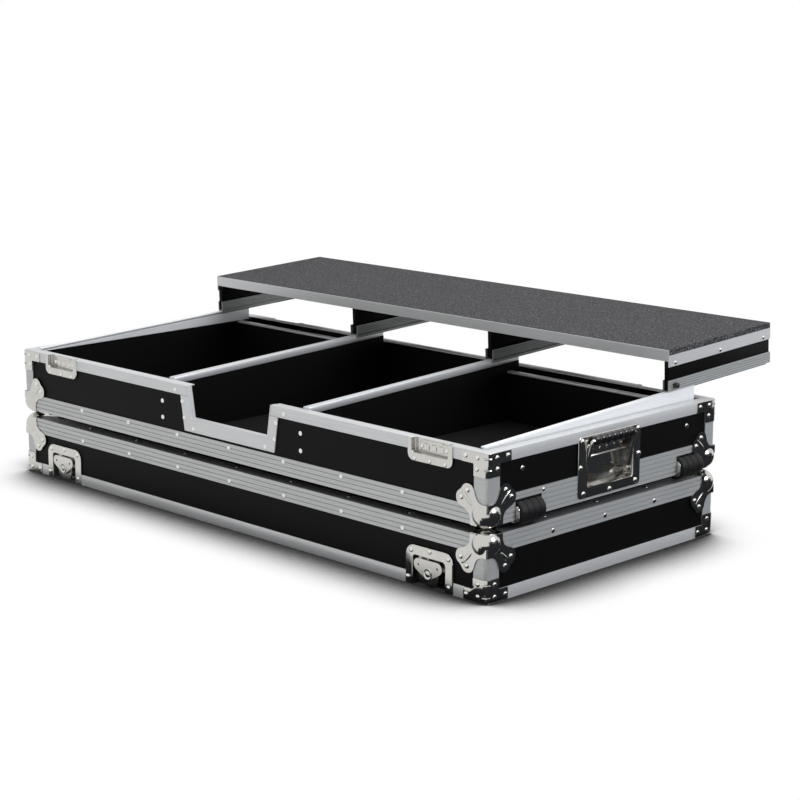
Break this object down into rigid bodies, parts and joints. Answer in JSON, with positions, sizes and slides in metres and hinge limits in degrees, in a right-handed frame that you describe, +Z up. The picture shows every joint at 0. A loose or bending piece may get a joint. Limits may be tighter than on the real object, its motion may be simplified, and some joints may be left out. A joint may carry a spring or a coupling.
{
  "type": "dj coffin case",
  "caption": "Travel case for turntables and a mixer: lid tray under a base tray with bays, front cut-out, sloping laptop platform on tracks, latches, handles, wheels.",
  "frame": {"origin": "on the floor, under the middle of the whole case's box with the platform slid back", "axes": "+X to the right end with the wheels, +Y to the back, +Z up"},
  "size_m": [1.251, 0.771, 0.3463],
  "materials": {
    "laminate_board": "plywood under a black laminate with a fine grain",
    "deck_board": "plywood under a dark speckled laminate",
    "aluminium_extrusion": "satin, ribbed along the bottom and top edges",
    "chromed_steel": "bright zinc or chrome plate on pressed steel",
    "grip_rubber": "ribbed black rubber on a plated steel bail",
    "wheel_rubber": "matt black rubber",
    "foam": "open black foam",
    "knob_plastic": "matt black"
  },
  "bodies": {
    "lid": {"lid_panel_shell": "laminate_board", "lid_edge_frame": "aluminium_extrusion", "lid_rim_frame": "aluminium_extrusion", "lid_ball_corner_front_right": "chromed_steel", "lid_ball_corner_rear_right": "chromed_steel", "lid_ball_corner_rear_left": "chromed_steel", "lid_ball_corner_front_left": "chromed_steel", "front_left_latch_dish": "chromed_steel", "front_right_latch_dish": "chromed_steel", "rear_left_latch_dish": "chromed_steel", "rear_right_latch_dish": "chromed_steel"},
    "base": {"base_floor_board": "laminate_board", "base_front_board": "laminate_board", "base_rear_board": "laminate_board", "base_left_end_board": "laminate_board", "base_right_end_board": "laminate_board", "left_divider": "laminate_board", "right_divider": "laminate_board", "base_edge_frame": "aluminium_extrusion", "base_rim_frame": "aluminium_extrusion", "mixer_cutout_trim": "aluminium_extrusion", "left_side_track": "aluminium_extrusion", "right_side_track": "aluminium_extrusion", "left_bay_foam": "foam", "right_bay_foam": "foam", "base_ball_corner_front_right": "chromed_steel", "base_ball_corner_rear_right": "chromed_steel", "base_ball_corner_rear_left": "chromed_steel", "base_ball_corner_front_left": "chromed_steel", "front_left_keeper": "chromed_steel", "front_right_keeper": "chromed_steel", "rear_left_keeper": "chromed_steel", "rear_right_keeper": "chromed_steel", "left_handle_dish": "chromed_steel", "right_handle_dish": "chromed_steel", "front_wheel_housing": "chromed_steel", "rear_wheel_housing": "chromed_steel"},
    "platform": {"platform_edge_trim": "aluminium_extrusion", "platform_deck": "deck_board", "platform_leg_left": "laminate_board", "platform_leg_right": "laminate_board", "platform_leg_middle_left": "laminate_board", "platform_leg_middle_right": "laminate_board"},
    "front_left_latch_claw": {"front_left_latch_claw": "chromed_steel"},
    "front_left_latch_hub": {"front_left_latch_hub": "chromed_steel"},
    "front_left_latch_wing": {"front_left_latch_wing": "chromed_steel"},
    "front_right_latch_claw": {"front_right_latch_claw": "chromed_steel"},
    "front_right_latch_hub": {"front_right_latch_hub": "chromed_steel"},
    "front_right_latch_wing": {"front_right_latch_wing": "chromed_steel"},
    "rear_left_latch_claw": {"rear_left_latch_claw": "chromed_steel"},
    "rear_left_latch_hub": {"rear_left_latch_hub": "chromed_steel"},
    "rear_left_latch_wing": {"rear_left_latch_wing": "chromed_steel"},
    "rear_right_latch_claw": {"rear_right_latch_claw": "chromed_steel"},
    "rear_right_latch_hub": {"rear_right_latch_hub": "chromed_steel"},
    "rear_right_latch_wing": {"rear_right_latch_wing": "chromed_steel"},
    "left_handle_bail": {"left_handle_bail": "grip_rubber"},
    "right_handle_bail": {"right_handle_bail": "grip_rubber"},
    "front_wheel": {"front_wheel": "wheel_rubber"},
    "rear_wheel": {"rear_wheel": "wheel_rubber"},
    "platform_lock_knob": {"platform_lock_knob": "knob_plastic"}
  },
  "joints": [
    {"name": "base_lift", "type": "slide", "parent": "lid", "child": "base", "axis": [0, 0, 1], "range_m": [0, 0.2]},
    {"name": "platform_glide", "type": "slide", "parent": "base", "child": "platform", "axis": [0, 0.9992, 0.041], "range_m": [-0.44, 0]},
    {"name": "lock_knob_turn", "type": "hinge", "parent": "platform", "child": "platform_lock_knob", "pos_m": [0.588, 0.10963, 0.27237], "axis": [1, 0, 0], "range_deg": [0, 90]},
    {"name": "front_left_latch_turn", "type": "hinge", "parent": "lid", "child": "front_left_latch_hub", "pos_m": [-0.487, -0.37845, 0.0248], "axis": [0, 1, 0], "range_deg": [0, 180]},
    {"name": "front_left_latch_fold", "type": "hinge", "parent": "front_left_latch_hub", "child": "front_left_latch_wing", "pos_m": [-0.487, -0.38025, 0.0138], "axis": [1, 0, 0], "range_deg": [0, 90]},
    {"name": "front_left_latch_draw", "type": "slide", "parent": "lid", "child": "front_left_latch_claw", "axis": [0, 0, 1], "range_m": [-0.01, 0]},
    {"name": "front_right_latch_turn", "type": "hinge", "parent": "lid", "child": "front_right_latch_hub", "pos_m": [0.487, -0.37845, 0.0248], "axis": [0, 1, 0], "range_deg": [0, 180]},
    {"name": "front_right_latch_fold", "type": "hinge", "parent": "front_right_latch_hub", "child": "front_right_latch_wing", "pos_m": [0.487, -0.38025, 0.0138], "axis": [1, 0, 0], "range_deg": [0, 90]},
    {"name": "front_right_latch_draw", "type": "slide", "parent": "lid", "child": "front_right_latch_claw", "axis": [0, 0, 1], "range_m": [-0.01, 0]},
    {"name": "rear_left_latch_turn", "type": "hinge", "parent": "lid", "child": "rear_left_latch_hub", "pos_m": [-0.487, 0.19755, 0.0248], "axis": [0, -1, 0], "range_deg": [0, 180]},
    {"name": "rear_left_latch_fold", "type": "hinge", "parent": "rear_left_latch_hub", "child": "rear_left_latch_wing", "pos_m": [-0.487, 0.19935, 0.0138], "axis": [-1, 0, 0], "range_deg": [0, 90]},
    {"name": "rear_left_latch_draw", "type": "slide", "parent": "lid", "child": "rear_left_latch_claw", "axis": [0, 0, 1], "range_m": [-0.01, 0]},
    {"name": "rear_right_latch_turn", "type": "hinge", "parent": "lid", "child": "rear_right_latch_hub", "pos_m": [0.487, 0.19755, 0.0248], "axis": [0, -1, 0], "range_deg": [0, 180]},
    {"name": "rear_right_latch_fold", "type": "hinge", "parent": "rear_right_latch_hub", "child": "rear_right_latch_wing", "pos_m": [0.487, 0.19935, 0.0138], "axis": [-1, 0, 0], "range_deg": [0, 90]},
    {"name": "rear_right_latch_draw", "type": "slide", "parent": "lid", "child": "rear_right_latch_claw", "axis": [0, 0, 1], "range_m": [-0.01, 0]},
    {"name": "right_handle_swing", "type": "hinge", "parent": "base", "child": "right_handle_bail", "pos_m": [0.6015, -0.08745, 0.1564], "axis": [0, 1, 0], "range_deg": [0, 70], "stiffness_Nm_per_rad": 0.5, "springref_deg": -28.65},
    {"name": "left_handle_swing", "type": "hinge", "parent": "base", "child": "left_handle_bail", "pos_m": [-0.6015, -0.09345, 0.1564], "axis": [0, -1, 0], "range_deg": [0, 70], "stiffness_Nm_per_rad": 0.5, "springref_deg": -28.65},
    {"name": "front_wheel_roll", "type": "hinge", "parent": "base", "child": "front_wheel", "pos_m": [0.6035, -0.28345, 0.1334], "axis": [0, 1, 0], "continuous": true},
    {"name": "rear_wheel_roll", "type": "hinge", "parent": "base", "child": "rear_wheel", "pos_m": [0.6035, 0.12255, 0.1334], "axis": [0, 1, 0], "continuous": true}
  ],
  "couplings": [
    {"joint": "front_left_latch_draw", "follows": "front_left_latch_turn", "m_per_rad": -0.0031831},
    {"joint": "front_right_latch_draw", "follows": "front_right_latch_turn", "m_per_rad": -0.0031831},
    {"joint": "rear_left_latch_draw", "follows": "rear_left_latch_turn", "m_per_rad": -0.0031831},
    {"joint": "rear_right_latch_draw", "follows": "rear_right_latch_turn", "m_per_rad": -0.0031831}
  ]
}
